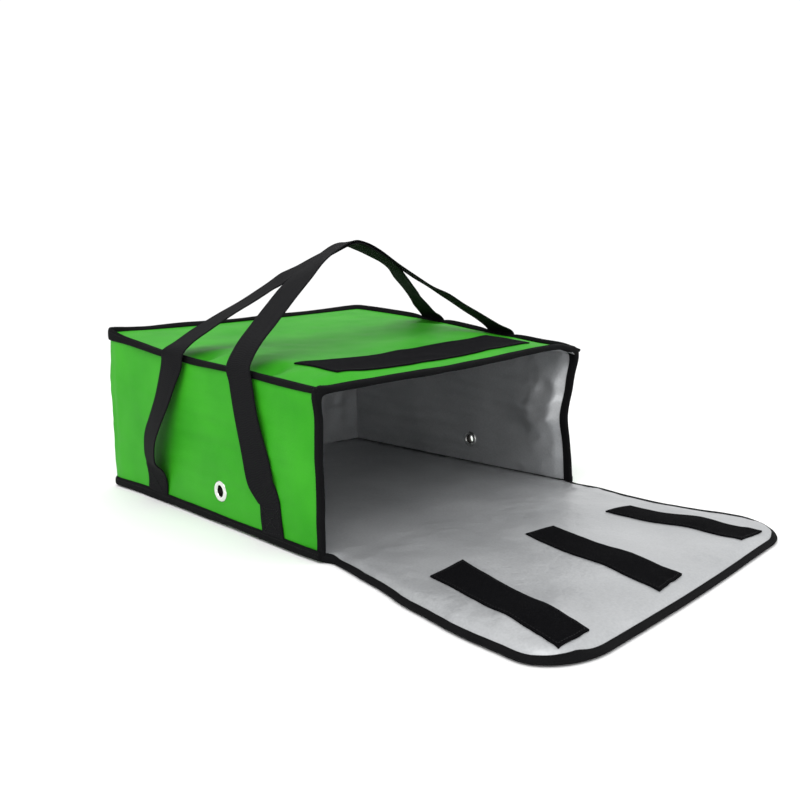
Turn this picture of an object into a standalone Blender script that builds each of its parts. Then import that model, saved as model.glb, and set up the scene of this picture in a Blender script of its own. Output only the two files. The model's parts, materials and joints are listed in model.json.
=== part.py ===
# Insulated delivery bag for flat boxes: a soft padded case that opens at the front,
# a flap that folds down from the floor's front edge, and two webbing handles that
# run up the sides and meet over the roof. The flap is modelled open, flat on the floor.
# Units are metres and +Z is up. The mouth faces -Y, and the origin is on the floor,
# under the middle of the case.

from math import cos, pi, sin

import bmesh
import bpy
from mathutils import Matrix, Vector

# Case, measured over the cover panels
BAG_WIDTH = 0.455
BAG_DEPTH = 0.455
FRONT_HEIGHT = 0.190
REAR_HEIGHT = 0.230

# Padded wall, from the outside in
COVER_THICKNESS = 0.0008
FOAM_THICKNESS = 0.0055
LINING_THICKNESS = 0.0006
FABRIC_GAP = 0.0003

# Binding tape folded over the edges of the mouth and of the flap
TAPE_THICKNESS = 0.0008
TAPE_LAP = 0.010

# Bound seams: those of the roof are folded down, those of the floor lie flat
ROOF_SEAM_HEIGHT = 0.009
ROOF_SEAM_THICKNESS = 0.005
ROOF_SEAM_DROP = 0.0005
FLOOR_SEAM_WIDTH = 0.008
FLOOR_SEAM_HEIGHT = 0.006

# Flap, measured forward from its hinge line. It is wider than the case, flares, and
# lies askew: its far end is this much further to the left than its hinge
FLAP_REACH = 0.309
FLAP_MARGIN = 0.004
FLAP_FLARE = 0.018
FLAP_SKEW = 0.022
FLAP_CORNER_RADIUS = 0.060

# Touch fastener: hook strips on the flap, which start this far from the mouth and stop
# this far short of the flap's end, and one wide loop strip on the roof, which is this
# far left of the middle. Each hook strip has its middle at the first of its two places
# where it starts, and at the second where it stops
HOOK_WIDTH = 0.050
HOOK_THICKNESS = 0.0015
HOOK_START = 0.118
HOOK_MARGIN = 0.02325
HOOK_PLACES = (("left", -0.170, -0.2155), ("middle", -0.0105, -0.049), ("right", 0.1315, 0.1435))
LOOP_LENGTH = 0.340
LOOP_SHIFT = 0.0105
LOOP_WIDTH = 0.075
LOOP_THICKNESS = 0.0015
LOOP_SETBACK = 0.028

# Webbing handles: where each crosses the roof's edge, where it is sewn down, and
# where the two meet, all measured back from the mouth
STRAP_WIDTH = 0.048
STRAP_THICKNESS = 0.0016
FRONT_STRAP_EDGE = 0.143
FRONT_STRAP_FOOT = 0.085
REAR_STRAP_EDGE = 0.294
REAR_STRAP_FOOT = 0.342
HANDLE_APEX = 0.203
HANDLE_TOP = 0.342
HANDLE_STACK = 0.004

# How high the webbing is sewn down, how far above the roof it turns, and the narrow
# neck that it turns on, which widens over this length towards the middle of the bag
STITCH_HEIGHT = 0.050
STRAP_LIFT = 0.003
NECK_RADIUS = 0.0035
NECK_LENGTH = 0.095

# Vent eyelets, one in each side
VENT_SETBACK = 0.183
VENT_HEIGHT = 0.042
VENT_HOLE_RADIUS = 0.0065
BARREL_WALL = 0.0007
EYELET_RADIUS = 0.013
EYELET_THICKNESS = 0.0018
EYELET_RIM = 0.0006
WASHER_RADIUS = 0.012
WASHER_THICKNESS = 0.0008

# How far a cutter runs past what it cuts
CUTTER_OVERRUN = 0.002

# Pull of the two middle control points on each half of a handle's arch, from the
# roof's edge to the apex: shares of the half span, and of the rise
FRONT_ARCH_SHARES = ((0.985, 0.09), (0.27, 0.91))
REAR_ARCH_SHARES = ((0.985, 0.07), (0.30, 0.82))

# The round end of a neck starts this far round from its lowest point, as a share of
# the quarter turn from there to its full width
NECK_START_SHARE = 0.22

# The foam's round ends take nearly half of its thickness each, so that they don't meet
ROUND_END_SHARE = 0.495

# An edge runs along an axis if this share of its length does
ALONG_SHARE = 0.9

RING_STEPS = 24
CORNER_STEPS = 8
HINGE_STEPS = 6
ARCH_STEPS = 42
NECK_STEPS = 3
LEG_STEPS = 12

# Places that follow from the sizes
MOUTH_Y = -BAG_DEPTH / 2
BACK_Y = BAG_DEPTH / 2
SIDE_X = BAG_WIDTH / 2
ROOF_SLOPE = (REAR_HEIGHT - FRONT_HEIGHT) / BAG_DEPTH
FOAM_DEPTH = COVER_THICKNESS + FABRIC_GAP
LINING_DEPTH = FOAM_DEPTH + FOAM_THICKNESS + FABRIC_GAP
WALL = LINING_DEPTH + LINING_THICKNESS
TAPE_REACH = TAPE_THICKNESS + FABRIC_GAP

# The flap rests on its own binding tape and turns about the middle of its wall.
# Closed, it stands off the mouth by its hook strips and the mouth's tape
FLAP_LIFT = TAPE_REACH
FLAP_HALF = WALL / 2
MOUTH_STANDOFF = HOOK_THICKNESS + TAPE_THICKNESS + 4 * FABRIC_GAP
HINGE_Y = MOUTH_Y - MOUTH_STANDOFF - FLAP_HALF
HINGE_Z = FLAP_LIFT + FLAP_HALF
HINGE_CLEAR = FOAM_THICKNESS / 2 + FABRIC_GAP
FLOOR_FRONT_Y = HINGE_Y + HINGE_CLEAR

# The flap's end section then lies over the roof, hook strips on the loop strip
ROOF_STANDOFF = HOOK_THICKNESS + LOOP_THICKNESS + 3 * FABRIC_GAP
FOLD_HEIGHT = FRONT_HEIGHT + ROOF_SLOPE * (HINGE_Y - MOUTH_Y) + ROOF_STANDOFF + FLAP_HALF
FOLD_Y = HINGE_Y - (FOLD_HEIGHT - HINGE_Z)
FLAP_END_Y = HINGE_Y - FLAP_REACH
TAPE_START = FLAP_HALF + TAPE_REACH + FABRIC_GAP
LONGEST_CORNER = FOLD_Y - TAPE_START - FLAP_END_Y - TAPE_REACH - FABRIC_GAP
CORNER_RADIUS = min(FLAP_CORNER_RADIUS, LONGEST_CORNER)
HOOK_CLEAR = FLAP_HALF + HOOK_THICKNESS + 3 * FABRIC_GAP
HOOK_RUN = MOUTH_Y - HOOK_START - (FLAP_END_Y + HOOK_MARGIN)

# The webbing lies on the wall where it is sewn, and hangs over the roof's seam above
STRAP_FLUSH = FABRIC_GAP + STRAP_THICKNESS / 2
STRAP_STANDOFF = ROOF_SEAM_THICKNESS + 2 * FABRIC_GAP + STRAP_THICKNESS / 2
APEX_Y = MOUTH_Y + HANDLE_APEX
VENT_Y = MOUTH_Y + VENT_SETBACK
BARREL_RADIUS = VENT_HOLE_RADIUS + BARREL_WALL

# Layers of the wall: name, depth of the outer face, thickness
LAYERS = (
    ("cover", 0, COVER_THICKNESS),
    ("foam", FOAM_DEPTH, FOAM_THICKNESS),
    ("lining", LINING_DEPTH, LINING_THICKNESS),
)
SIDES = (("left", -1), ("right", 1))


# Height of the roof's outer face
def roof(y):
    return FRONT_HEIGHT + ROOF_SLOPE * (y - MOUTH_Y)


# A surface this far under the roof's outer face
def below_roof(depth):
    return lambda y: roof(y) - depth


# A place may be a number, or a function of y where it slopes or flares
def at(place, y):
    return place(y) if callable(place) else place


def clear_scene():
    for obj in list(bpy.data.objects):
        bpy.data.objects.remove(obj)


def new_collection(name):
    collection = bpy.data.collections.new(name)
    bpy.context.scene.collection.children.link(collection)
    return collection


def make_material(name, colour, roughness, metallic=0.0):
    material = bpy.data.materials.new(name)
    material.use_nodes = True
    shader = material.node_tree.nodes["Principled BSDF"]
    shader.inputs["Base Color"].default_value = (*colour, 1.0)
    shader.inputs["Roughness"].default_value = roughness
    shader.inputs["Metallic"].default_value = metallic
    return material


# An empty on a joint's axis, which carries what turns there
def add_pivot(name, place, parent=None):
    pivot = bpy.data.objects.new(name, None)
    parts.objects.link(pivot)
    pivot.location = place
    pivots[name] = Vector(place)
    if parent:
        carry(pivot, parent)
    return pivot


def carry(obj, pivot):
    obj.parent = pivot
    obj.matrix_parent_inverse = Matrix.Translation(-pivots[pivot.name])


def new_object(name, bm, collection, pivot):
    mesh = bpy.data.meshes.new(name)
    bm.to_mesh(mesh)
    bm.free()
    obj = bpy.data.objects.new(name, mesh)
    collection.objects.link(obj)
    if pivot:
        carry(obj, pivot)
    return obj


def add_part(name, bm, material, pivot=None):
    obj = new_object(name, bm, parts, pivot)
    obj.data.materials.append(materials[material])
    return obj


def add_cutter(name, bm, pivot=None):
    obj = new_object(name, bm, cutters, pivot)
    obj.hide_render = True
    obj.display_type = "WIRE"
    return obj


def cut(obj, cutter):
    boolean = obj.modifiers.new(cutter.name, "BOOLEAN")
    boolean.operation = "DIFFERENCE"
    boolean.object = cutter


# A block between two places along each axis
def block(xs, ys, zs):
    bm = bmesh.new()
    bmesh.ops.create_cube(bm, size=1.0)
    for vert in bm.verts:
        y = ys[vert.co.y > 0]
        x = at(xs[vert.co.x > 0], y)
        z = at(zs[vert.co.z > 0], y)
        vert.co = (x, y, z)
    return bm


# The same place on the left (-1) or the right (1), lowest first
def mirrored(sign, inner, outer):
    return tuple(sorted((sign * inner, sign * outer)))


def make_vent_cutters():
    found = {}
    for side, sign in SIDES:
        radius = BARREL_RADIUS + FABRIC_GAP
        depth = WALL + 2 * CUTTER_OVERRUN
        bm = bmesh.new()
        bmesh.ops.create_cone(
            bm, cap_ends=True, segments=RING_STEPS, radius1=radius, radius2=radius, depth=depth
        )
        cutter = add_cutter(f"vent_cutter_{side}", bm)
        cutter.rotation_euler = (0, pi / 2, 0)
        cutter.location = (sign * (SIDE_X - WALL / 2), VENT_Y, VENT_HEIGHT)
        found[side] = cutter
    return found


# The case: three nested boxes of cover, foam and lining, open at the mouth
def make_case():
    vents = make_vent_cutters()
    for layer, depth, thickness in LAYERS:
        inner = depth + thickness
        half = SIDE_X - depth
        rear = BACK_Y - depth
        wall_zs = (inner + FABRIC_GAP, below_roof(inner + FABRIC_GAP))
        floor = block((-half, half), (FLOOR_FRONT_Y, rear), (depth, inner))
        top = block((-half, half), (MOUTH_Y, rear), (below_roof(inner), below_roof(depth)))
        back = block((-half, half), (rear - thickness, rear), wall_zs)
        add_part(f"{layer}_floor", floor, layer)
        add_part(f"{layer}_roof", top, layer)
        add_part(f"{layer}_rear", back, layer)
        for side, sign in SIDES:
            xs = mirrored(sign, half - thickness, half)
            ys = (MOUTH_Y, rear - thickness - FABRIC_GAP)
            wall = add_part(f"{layer}_{side}", block(xs, ys, wall_zs), layer)
            cut(wall, vents[side])


# A seam beside a side wall, between two distances out from it, mitred at the back
def side_seam(sign, near, far, front, zs):
    bm = bmesh.new()
    bmesh.ops.create_cube(bm, size=1.0)
    for vert in bm.verts:
        out = far if vert.co.x * sign > 0 else near
        y = BACK_Y + out if vert.co.y > 0 else front
        vert.co = (sign * (SIDE_X + out), y, at(zs[vert.co.z > 0], y))
    return bm


# The seam behind the rear wall, mitred at both ends
def rear_seam(near, far, zs):
    bm = bmesh.new()
    bmesh.ops.create_cube(bm, size=1.0)
    for vert in bm.verts:
        out = far if vert.co.y > 0 else near
        sign = 1 if vert.co.x > 0 else -1
        y = BACK_Y + out
        vert.co = (sign * (SIDE_X + out - FABRIC_GAP), y, at(zs[vert.co.z > 0], y))
    return bm


def make_seams():
    roof_zs = (below_roof(ROOF_SEAM_DROP + ROOF_SEAM_HEIGHT), below_roof(ROOF_SEAM_DROP))
    roof_front = MOUTH_Y + TAPE_LAP + FABRIC_GAP
    floor_zs = (0, FLOOR_SEAM_HEIGHT)
    near = FABRIC_GAP
    roof_far = near + ROOF_SEAM_THICKNESS
    floor_far = near + FLOOR_SEAM_WIDTH
    for side, sign in SIDES:
        add_part(f"seam_roof_{side}", side_seam(sign, near, roof_far, roof_front, roof_zs), "tape")
        add_part(f"seam_floor_{side}", side_seam(sign, near, floor_far, FLOOR_FRONT_Y, floor_zs), "tape")
    add_part("seam_roof_rear", rear_seam(near, roof_far, roof_zs), "tape")
    add_part("seam_floor_rear", rear_seam(near, floor_far, floor_zs), "tape")


# Tape folded over the three free edges of the mouth, as channels that hold the wall
def make_mouth_tapes():
    ys = (MOUTH_Y - TAPE_REACH, MOUTH_Y + TAPE_LAP)
    slot_ys = (MOUTH_Y - FABRIC_GAP, MOUTH_Y + TAPE_LAP + CUTTER_OVERRUN)
    half = SIDE_X + TAPE_REACH
    wide = half + CUTTER_OVERRUN

    top = block((-half, half), ys, (below_roof(WALL + TAPE_REACH), below_roof(-TAPE_REACH)))
    top = add_part("tape_mouth_top", top, "tape")
    slot = block((-wide, wide), slot_ys, (below_roof(WALL + FABRIC_GAP), below_roof(-FABRIC_GAP)))
    cut(top, add_cutter("mouth_top_slot", slot))

    upright_drop = WALL + TAPE_REACH + FABRIC_GAP
    notch_zs = (below_roof(WALL + TAPE_REACH + CUTTER_OVERRUN), below_roof(WALL / 2))
    open_zs = (WALL + FABRIC_GAP - CUTTER_OVERRUN, below_roof(upright_drop - CUTTER_OVERRUN))
    for side, sign in SIDES:
        notch = block(mirrored(sign, SIDE_X - WALL - TAPE_REACH - FABRIC_GAP, wide), slot_ys, notch_zs)
        cut(top, add_cutter(f"mouth_top_notch_{side}", notch))
        xs = mirrored(sign, SIDE_X - WALL - TAPE_REACH, half)
        upright = block(xs, ys, (WALL + FABRIC_GAP, below_roof(upright_drop)))
        upright = add_part(f"tape_mouth_{side}", upright, "tape")
        slot = block(mirrored(sign, SIDE_X - WALL - FABRIC_GAP, SIDE_X + FABRIC_GAP), slot_ys, open_zs)
        cut(upright, add_cutter(f"mouth_slot_{side}", slot))


# The flap's side edge, grown outward by this much
def flap_edge(sign, grow):
    def edge(y):
        share = (HINGE_Y - y) / FLAP_REACH
        return sign * (SIDE_X + FLAP_MARGIN + FLAP_FLARE * share + grow) - FLAP_SKEW * share

    return edge


def runs_along(edge, axis):
    span = edge.verts[0].co - edge.verts[1].co
    return abs(span[axis]) > ALONG_SHARE * span.length


def round_edges(bm, edges, radius, steps):
    bmesh.ops.bevel(
        bm, geom=edges, offset=radius, segments=steps, profile=0.5, affect="EDGES", material=-1
    )


# A slab as wide as the flap, from its far end to its near one
def flap_slab(far, near, zs, grow=0.0):
    return block((flap_edge(-1, grow), flap_edge(1, grow)), (far, near), zs)


def round_far_corners(bm, far, radius):
    edge_y = far + FABRIC_GAP
    corners = [edge for edge in bm.edges if runs_along(edge, 2) and edge.verts[0].co.y < edge_y]
    round_edges(bm, corners, radius, CORNER_STEPS)


def round_near_end(bm, near, radius):
    edge_y = near - FABRIC_GAP
    ends = [edge for edge in bm.edges if runs_along(edge, 0) and edge.verts[0].co.y > edge_y]
    round_edges(bm, ends, radius, HINGE_STEPS)


# One section of the flap, which turns about the line at hinge_y. The foam's end is
# round about that line, the cover starts on it and the lining starts with the tape,
# clear of what it folds against
def make_flap_section(section, hinge_y, far, pivot, rounded):
    starts = {
        "cover": hinge_y,
        "foam": hinge_y + FOAM_THICKNESS / 2,
        "lining": hinge_y - TAPE_START,
    }
    for layer, depth, thickness in LAYERS:
        low = FLAP_LIFT + depth
        bm = flap_slab(far, starts[layer], (low, low + thickness))
        if rounded:
            round_far_corners(bm, far, CORNER_RADIUS)
        if layer == "foam":
            round_near_end(bm, starts[layer], ROUND_END_SHARE * thickness)
        add_part(f"{layer}_flap_{section}", bm, layer, pivot)


# Tape folded over the flap's free edges. It starts clear of each line that turns
def make_flap_tapes(front_pivot, end_pivot):
    zs = (FLAP_LIFT - TAPE_REACH, FLAP_LIFT + WALL + TAPE_REACH)
    slot_zs = (FLAP_LIFT - FABRIC_GAP, FLAP_LIFT + WALL + FABRIC_GAP)
    window_zs = (zs[0] - CUTTER_OVERRUN, zs[1] + CUTTER_OVERRUN)

    ys = (FOLD_Y + HINGE_CLEAR, HINGE_Y - TAPE_START)
    slot_ys = (ys[0] - CUTTER_OVERRUN, ys[1] + CUTTER_OVERRUN)
    inside = -TAPE_LAP - CUTTER_OVERRUN
    for side, sign in SIDES:
        edges = (flap_edge(sign, -TAPE_LAP), flap_edge(sign, TAPE_REACH))
        slot_edges = (flap_edge(sign, inside), flap_edge(sign, FABRIC_GAP))
        bar = add_part(f"tape_flap_{side}", block(edges[::sign], ys, zs), "tape", front_pivot)
        cut(bar, add_cutter(f"flap_slot_{side}", block(slot_edges[::sign], slot_ys, slot_zs), front_pivot))

    near = FOLD_Y - TAPE_START
    past = near + CUTTER_OVERRUN
    bm = flap_slab(FLAP_END_Y - TAPE_REACH, near, zs, TAPE_REACH)
    round_far_corners(bm, FLAP_END_Y - TAPE_REACH, CORNER_RADIUS + TAPE_REACH)
    end = add_part("tape_flap_end", bm, "tape", end_pivot)
    slot = flap_slab(FLAP_END_Y - FABRIC_GAP, past, slot_zs, FABRIC_GAP)
    round_far_corners(slot, FLAP_END_Y - FABRIC_GAP, CORNER_RADIUS + FABRIC_GAP)
    cut(end, add_cutter("flap_end_slot", slot, end_pivot))
    window = flap_slab(FLAP_END_Y + TAPE_LAP, past, window_zs, -TAPE_LAP)
    round_far_corners(window, FLAP_END_Y + TAPE_LAP, CORNER_RADIUS - TAPE_LAP)
    cut(end, add_cutter("flap_end_window", window, end_pivot))


# A hook strip's left (-1) or right (1) edge
def hook_edge(start, stop, sign):
    def edge(y):
        share = (MOUTH_Y - HOOK_START - y) / HOOK_RUN
        return start + (stop - start) * share + sign * HOOK_WIDTH / 2

    return edge


# Hook strips on the flap's lining, each in two lengths that meet at the fold, and
# the loop strip that they press on
def make_fasteners(front_pivot, end_pivot):
    low = FLAP_LIFT + WALL + FABRIC_GAP
    zs = (low, low + HOOK_THICKNESS)
    inner_ys = (FOLD_Y + HOOK_CLEAR, MOUTH_Y - HOOK_START)
    outer_ys = (FLAP_END_Y + HOOK_MARGIN, FOLD_Y - HOOK_CLEAR)
    for name, start, stop in HOOK_PLACES:
        xs = (hook_edge(start, stop, -1), hook_edge(start, stop, 1))
        add_part(f"hook_{name}_inner", block(xs, inner_ys, zs), "hook", front_pivot)
        add_part(f"hook_{name}_outer", block(xs, outer_ys, zs), "hook", end_pivot)
    xs = (-LOOP_LENGTH / 2 - LOOP_SHIFT, LOOP_LENGTH / 2 - LOOP_SHIFT)
    ys = (MOUTH_Y + LOOP_SETBACK, MOUTH_Y + LOOP_SETBACK + LOOP_WIDTH)
    loop_zs = (below_roof(-FABRIC_GAP), below_roof(-FABRIC_GAP - LOOP_THICKNESS))
    add_part("loop_strip", block(xs, ys, loop_zs), "loop")


# Webbing swept along a path that gives the middle point and the half width at u
def ribbon(name, steps, path, pivot=None):
    bm = bmesh.new()
    bmesh.ops.create_grid(bm, x_segments=steps, y_segments=1, size=1.0)
    for vert in bm.verts:
        middle, half = path((vert.co.x + 1) / 2)
        across = half if vert.co.y > 0 else -half
        vert.co = (middle[0], middle[1] + across, middle[2])
    obj = add_part(name, bm, "webbing", pivot)
    solidify = obj.modifiers.new("webbing", "SOLIDIFY")
    solidify.thickness = STRAP_THICKNESS
    solidify.offset = 0
    solidify.use_even_offset = True
    return obj


# A point on the cubic curve from (1, 0) to (0, 1) that two control points pull on
def arch_curve(pulls, t):
    weights = ((1 - t) ** 3, 3 * t * (1 - t) ** 2, 3 * t * t * (1 - t), t**3)
    points = ((1, 0), *pulls, (0, 1))
    out = sum(weight * point[0] for weight, point in zip(weights, points))
    up = sum(weight * point[1] for weight, point in zip(weights, points))
    return out, up


# A handle from the round end of its left neck, over the apex, to the right one. It
# lies in one sloping plane, so that it keeps its shape as it swings
def arch_path(edge_y, pivot_z, top, pulls):
    span = SIDE_X + STRAP_STANDOFF
    rise = top - pivot_z
    neck_part = 2 * NECK_STEPS / ARCH_STEPS

    def path(u):
        sign = -1 if u < 0.5 else 1
        along = 1 - abs(2 * u - 1)
        if along < neck_part:
            turn = (NECK_START_SHARE + (1 - NECK_START_SHARE) * along / neck_part) * pi / 2
            return (sign * span, edge_y, pivot_z - NECK_RADIUS * cos(turn)), NECK_RADIUS * sin(turn)
        out, up = arch_curve(pulls, (along - neck_part) / (1 - neck_part))
        widen = min(1, span * (1 - out) / NECK_LENGTH)
        half = NECK_RADIUS + (STRAP_WIDTH / 2 - NECK_RADIUS) * widen
        y = edge_y + (APEX_Y - edge_y) * up
        return (sign * span * out, y, pivot_z + rise * up), half

    return path


# Webbing on a side wall: flat where it is sewn, then free and out past the seam
def leg_path(sign, edge_y, foot_y, pivot_z):
    foot_z = FLOOR_SEAM_HEIGHT + FABRIC_GAP
    top_z = pivot_z - NECK_RADIUS - FABRIC_GAP
    lowest_edge = min(edge_y, foot_y) - STRAP_WIDTH / 2
    clear_z = roof(lowest_edge) - ROOF_SEAM_DROP - ROOF_SEAM_HEIGHT - STRAP_STANDOFF

    def path(u):
        z = foot_z + (top_z - foot_z) * u
        share = (z - STITCH_HEIGHT) / (clear_z - STITCH_HEIGHT)
        off = STRAP_FLUSH + (STRAP_STANDOFF - STRAP_FLUSH) * min(max(share, 0), 1)
        return (sign * (SIDE_X + off), foot_y + (edge_y - foot_y) * u, z), STRAP_WIDTH / 2

    return path


def make_handle(name, edge, foot, top, pulls):
    edge_y = MOUTH_Y + edge
    foot_y = MOUTH_Y + foot
    pivot_z = roof(edge_y) + STRAP_LIFT
    pivot = add_pivot(f"pivot_handle_{name}", (0, edge_y, pivot_z))
    ribbon(f"handle_{name}_arch", ARCH_STEPS, arch_path(edge_y, pivot_z, top, pulls), pivot)
    for side, sign in SIDES:
        ribbon(f"handle_{name}_{side}", LEG_STEPS, leg_path(sign, edge_y, foot_y, pivot_z))


# A ring turned about a vent's axis. Each point is a radius and a distance out from
# the wall's face, in order down the ring's outer side and up its bore
def turned(name, outline, sign):
    bm = bmesh.new()
    verts = [bm.verts.new((radius, 0, height)) for radius, height in outline]
    for vert, following in zip(verts, verts[1:] + verts[:1]):
        bm.edges.new((vert, following))
    obj = add_part(name, bm, "nickel")
    screw = obj.modifiers.new("turn", "SCREW")
    screw.steps = RING_STEPS
    screw.render_steps = RING_STEPS
    screw.use_merge_vertices = True
    screw.merge_threshold = FABRIC_GAP / 10
    screw.use_smooth_shade = True
    obj.rotation_euler = (0, sign * pi / 2, 0)
    obj.location = (sign * SIDE_X, VENT_Y, VENT_HEIGHT)
    return obj


# Vents: a flanged barrel from outside, clenched over a washer on the lining
def make_vents():
    face = FABRIC_GAP
    crown = (EYELET_RADIUS + BARREL_RADIUS) / 2
    washer_face = -WALL - FABRIC_GAP
    inner_end = washer_face - WASHER_THICKNESS
    eyelet = (
        (crown, face + EYELET_THICKNESS),
        (EYELET_RADIUS, face + EYELET_RIM),
        (EYELET_RADIUS, face),
        (BARREL_RADIUS, face),
        (BARREL_RADIUS, inner_end),
        (VENT_HOLE_RADIUS, inner_end),
        (VENT_HOLE_RADIUS, face + EYELET_RIM),
        (BARREL_RADIUS, face + EYELET_THICKNESS),
    )
    washer = (
        (WASHER_RADIUS, washer_face),
        (WASHER_RADIUS, inner_end),
        (BARREL_RADIUS + FABRIC_GAP, inner_end),
        (BARREL_RADIUS + FABRIC_GAP, washer_face),
    )
    for side, sign in SIDES:
        turned(f"vent_eyelet_{side}", eyelet, sign)
        turned(f"vent_washer_{side}", washer, sign)


clear_scene()
parts = new_collection("delivery bag")
cutters = new_collection("cutters")
pivots = {}
materials = {
    "cover": make_material("green cover", (0.050, 0.450, 0.025), 0.62),
    "foam": make_material("white foam", (0.85, 0.85, 0.83), 0.9),
    "lining": make_material("silver lining", (0.62, 0.64, 0.66), 0.35, 0.6),
    "tape": make_material("black binding tape", (0.008, 0.008, 0.010), 0.8),
    "webbing": make_material("black webbing", (0.010, 0.010, 0.012), 0.75),
    "hook": make_material("black hook strip", (0.006, 0.006, 0.007), 0.9),
    "loop": make_material("black loop strip", (0.016, 0.016, 0.019), 0.95),
    "nickel": make_material("nickel", (0.66, 0.66, 0.64), 0.25, 1.0),
}

make_case()
make_seams()
make_mouth_tapes()

hinge = add_pivot("pivot_flap_hinge", (0, HINGE_Y, HINGE_Z))
fold = add_pivot("pivot_flap_fold", (0, FOLD_Y, HINGE_Z), hinge)
make_flap_section("front", HINGE_Y, FOLD_Y + HINGE_CLEAR, hinge, False)
make_flap_section("end", FOLD_Y, FLAP_END_Y, fold, True)
make_flap_tapes(hinge, fold)
make_fasteners(hinge, fold)

rear_top = HANDLE_TOP - HANDLE_STACK
make_handle("front", FRONT_STRAP_EDGE, FRONT_STRAP_FOOT, HANDLE_TOP, FRONT_ARCH_SHARES)
make_handle("rear", REAR_STRAP_EDGE, REAR_STRAP_FOOT, rear_top, REAR_ARCH_SHARES)
make_vents()
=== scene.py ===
# Looks of the insulated delivery bag: soft padded panels, foil lining, bound seams,
# webbing handles and touch-fastener strips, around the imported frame. Metres, +Z up.
import json
import math

import bmesh
import bpy
from mathutils import Matrix, Vector, noise

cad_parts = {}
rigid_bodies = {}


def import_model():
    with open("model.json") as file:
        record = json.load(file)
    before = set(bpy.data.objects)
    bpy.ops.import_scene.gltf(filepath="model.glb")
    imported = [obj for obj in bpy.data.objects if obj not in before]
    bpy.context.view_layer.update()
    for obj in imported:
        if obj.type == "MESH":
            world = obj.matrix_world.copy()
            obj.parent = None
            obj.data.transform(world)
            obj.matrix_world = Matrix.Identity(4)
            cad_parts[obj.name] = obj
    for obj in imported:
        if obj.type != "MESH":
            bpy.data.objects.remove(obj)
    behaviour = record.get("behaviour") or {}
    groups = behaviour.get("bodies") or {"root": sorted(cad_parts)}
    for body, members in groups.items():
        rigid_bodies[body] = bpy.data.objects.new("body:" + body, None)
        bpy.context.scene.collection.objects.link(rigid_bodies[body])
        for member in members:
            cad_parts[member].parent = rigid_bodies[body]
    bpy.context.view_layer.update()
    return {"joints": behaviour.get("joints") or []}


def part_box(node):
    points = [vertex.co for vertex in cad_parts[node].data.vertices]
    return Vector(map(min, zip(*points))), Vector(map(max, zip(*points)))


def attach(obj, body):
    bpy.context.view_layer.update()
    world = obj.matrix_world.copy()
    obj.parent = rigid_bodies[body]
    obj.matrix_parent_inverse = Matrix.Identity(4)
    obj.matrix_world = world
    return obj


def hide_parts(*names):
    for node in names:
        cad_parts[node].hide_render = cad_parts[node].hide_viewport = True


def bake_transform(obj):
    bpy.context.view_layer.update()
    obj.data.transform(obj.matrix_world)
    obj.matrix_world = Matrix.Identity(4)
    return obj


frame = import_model()
print("frame loaded")

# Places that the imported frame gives
joints = {joint["name"]: Vector(joint["pos_m"]) for joint in frame["joints"]}
hinge = joints["flap_hinge"]
fold = joints["flap_fold"]
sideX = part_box("cover_right")[1].x
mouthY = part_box("cover_roof")[0].y
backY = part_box("cover_rear")[1].y
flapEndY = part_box("cover_flap_end")[0].y
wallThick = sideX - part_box("lining_right")[0].x
loopLow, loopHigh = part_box("loop_strip")
ventLow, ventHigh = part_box("vent_eyelet_left")
vent = (ventLow + ventHigh) / 2
splitY = (hinge.y + fold.y) / 2  # where the flap's sheets are divided
up = Vector((0, 0, 1))


def mix(first, second, share):
    return first + (second - first) * share


def spread(first, last, count):  # even values from first to last, both included
    return [mix(first, last, k / count) for k in range(count + 1)]


def clamp(share):
    return min(max(share, 0), 1)


def ease(share):
    share = clamp(share)
    return share * share * (3 - 2 * share)


def hump(distance, width):
    return math.exp(-(distance / width) ** 2)


def wobble(x, y, z, perMetre):
    return noise.noise(Vector((x, y, z)) * perMetre)


# A smooth line through knots of (place, value); a value is a number or a Vector
def through(knots, t):
    last = len(knots) - 1

    def slope(k):
        before, after = max(k - 1, 0), min(k + 1, last)
        return (knots[after][1] - knots[before][1]) * (1 / (knots[after][0] - knots[before][0]))

    i = 0
    while i < last - 1 and t > knots[i + 1][0]:
        i += 1
    span = knots[i + 1][0] - knots[i][0]
    h = clamp((t - knots[i][0]) / span)
    start = knots[i][1] * (2 * h**3 - 3 * h**2 + 1) + slope(i) * (span * (h**3 - 2 * h**2 + h))
    return start + knots[i + 1][1] * (3 * h**2 - 2 * h**3) + slope(i + 1) * (span * (h**3 - h**2))


# Shader maths
class Wire:  # one socket; expressions on it add Math nodes
    def __init__(self, finish, socket):
        self.finish = finish
        self.socket = socket

    def maths(self, operation, first, second=0.0):
        return self.finish.node("ShaderNodeMath", {"operation": operation}, {0: first, 1: second})

    def __add__(self, other):
        return self.maths("ADD", self, other)

    def __mul__(self, other):
        return self.maths("MULTIPLY", self, other)

    def __abs__(self):
        return self.maths("ABSOLUTE", self)

    def wave(self):
        return self.maths("SINE", self)

    __radd__ = __add__
    __rmul__ = __mul__


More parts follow.
